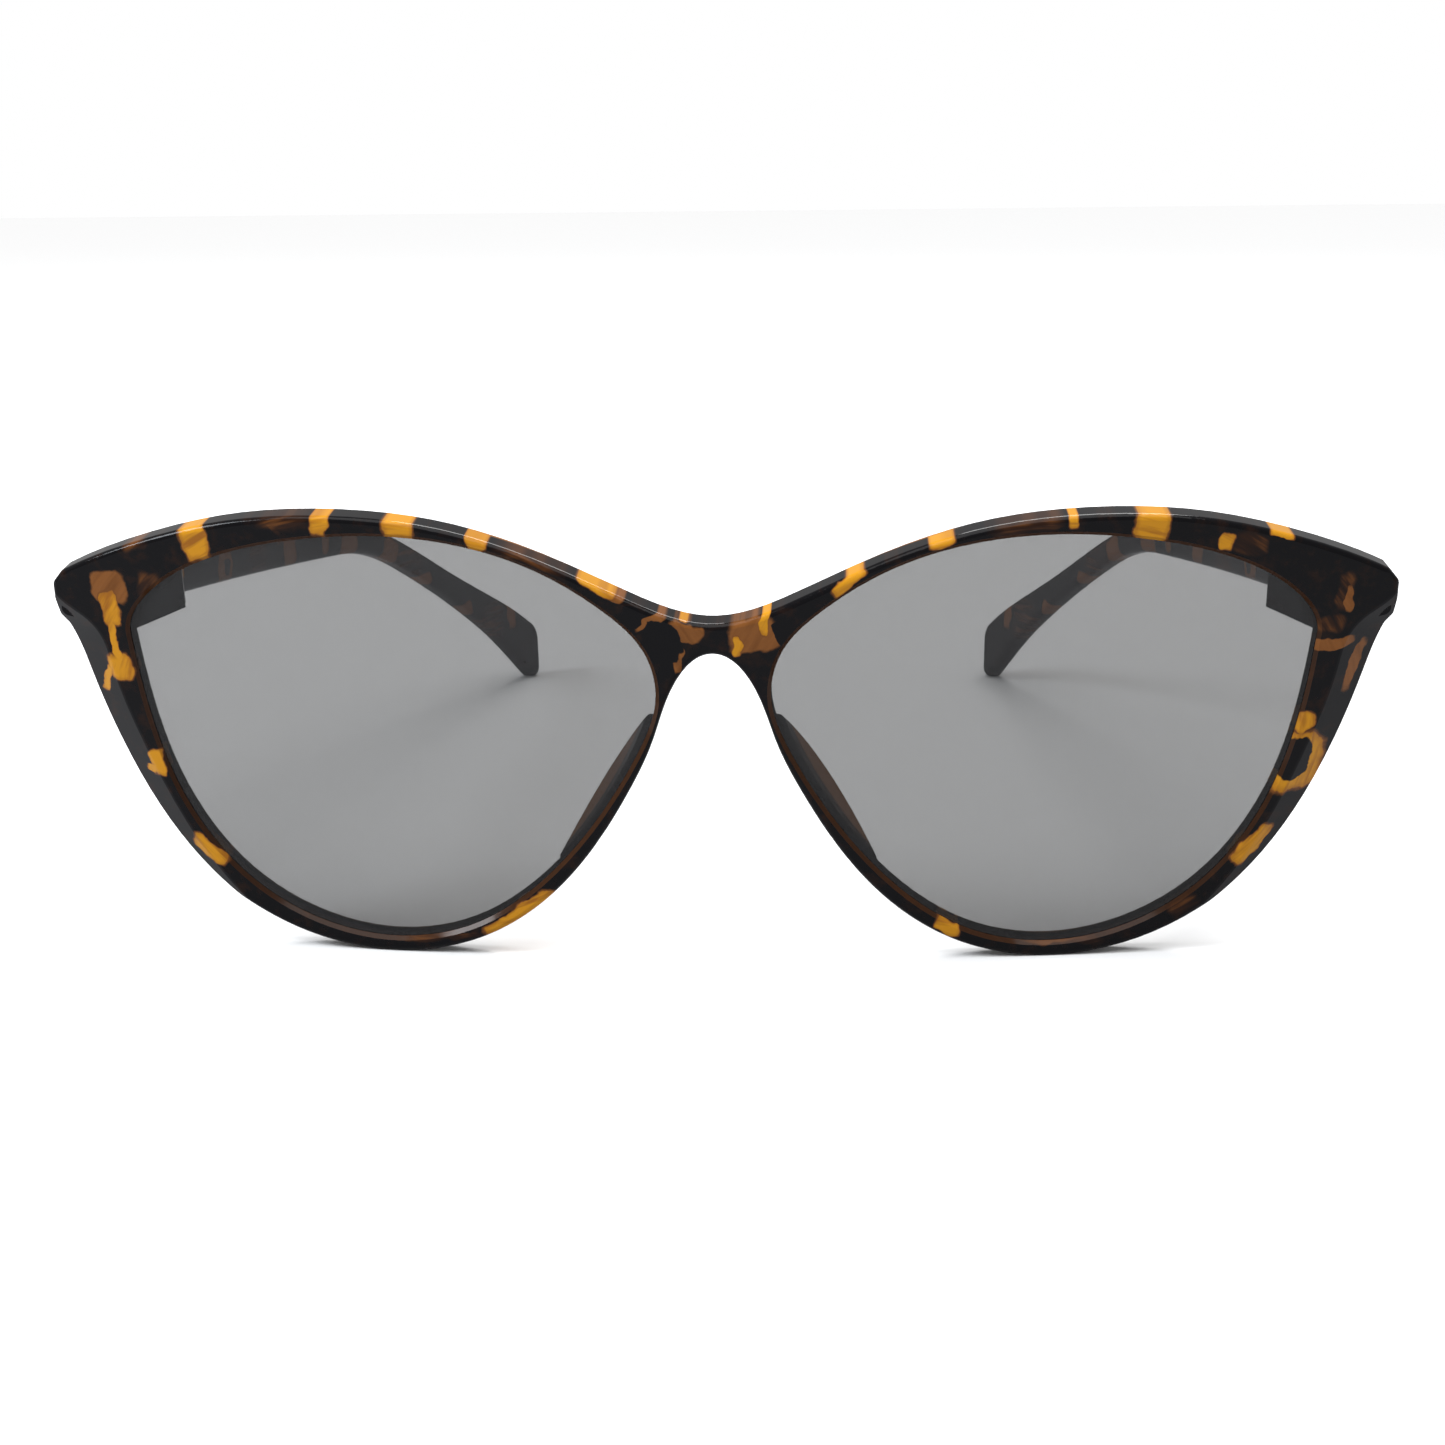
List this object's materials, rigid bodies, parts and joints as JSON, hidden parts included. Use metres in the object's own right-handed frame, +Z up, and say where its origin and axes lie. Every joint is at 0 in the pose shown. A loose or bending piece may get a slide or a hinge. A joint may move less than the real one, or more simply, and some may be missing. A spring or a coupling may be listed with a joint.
{
  "type": "cat eye sunglasses",
  "caption": "Cat eye sunglasses with a moulded tortoiseshell front, grey tinted lenses and temples that fold on metal hinges.",
  "frame": {"origin": "on the table, in the middle of the width and depth of the open glasses", "axes": "+X to the wearer's left, +Y from the front to the temple tips, +Z up; the front looks along -Y"},
  "size_m": [0.1434, 0.1392, 0.0501],
  "materials": {
    "tortoiseshell_front": "glossy moulded plastic, near black with amber tortoiseshell patches",
    "tortoiseshell_temple": "glossy moulded plastic, near black with amber tortoiseshell patches",
    "tinted_lens": "neutral grey tint, smooth and clear",
    "hinge_metal": "nickel-plated steel, satin",
    "screw_metal": "polished steel"
  },
  "bodies": {
    "front": {"front_frame": "tortoiseshell_front", "lens_left": "tinted_lens", "lens_right": "tinted_lens", "hinge_front_leaf_left": "hinge_metal", "hinge_front_leaf_right": "hinge_metal", "hinge_screw_left": "screw_metal", "hinge_screw_right": "screw_metal", "front_leaf_screws_left": "screw_metal", "front_leaf_screws_right": "screw_metal"},
    "temple_left": {"temple_left": "tortoiseshell_temple", "hinge_temple_leaf_left": "hinge_metal", "temple_leaf_screws_left": "screw_metal"},
    "temple_right": {"temple_right": "tortoiseshell_temple", "hinge_temple_leaf_right": "hinge_metal", "temple_leaf_screws_right": "screw_metal"}
  },
  "joints": [
    {"name": "temple_left_fold", "type": "hinge", "parent": "front", "child": "temple_left", "pos_m": [0.064, -0.0545, 0.0405], "axis": [0, -0.1184, 0.993], "range_deg": [0, 82]},
    {"name": "temple_right_fold", "type": "hinge", "parent": "front", "child": "temple_right", "pos_m": [-0.064, -0.0545, 0.0405], "axis": [0, 0.1184, -0.993], "range_deg": [0, 77]}
  ]
}
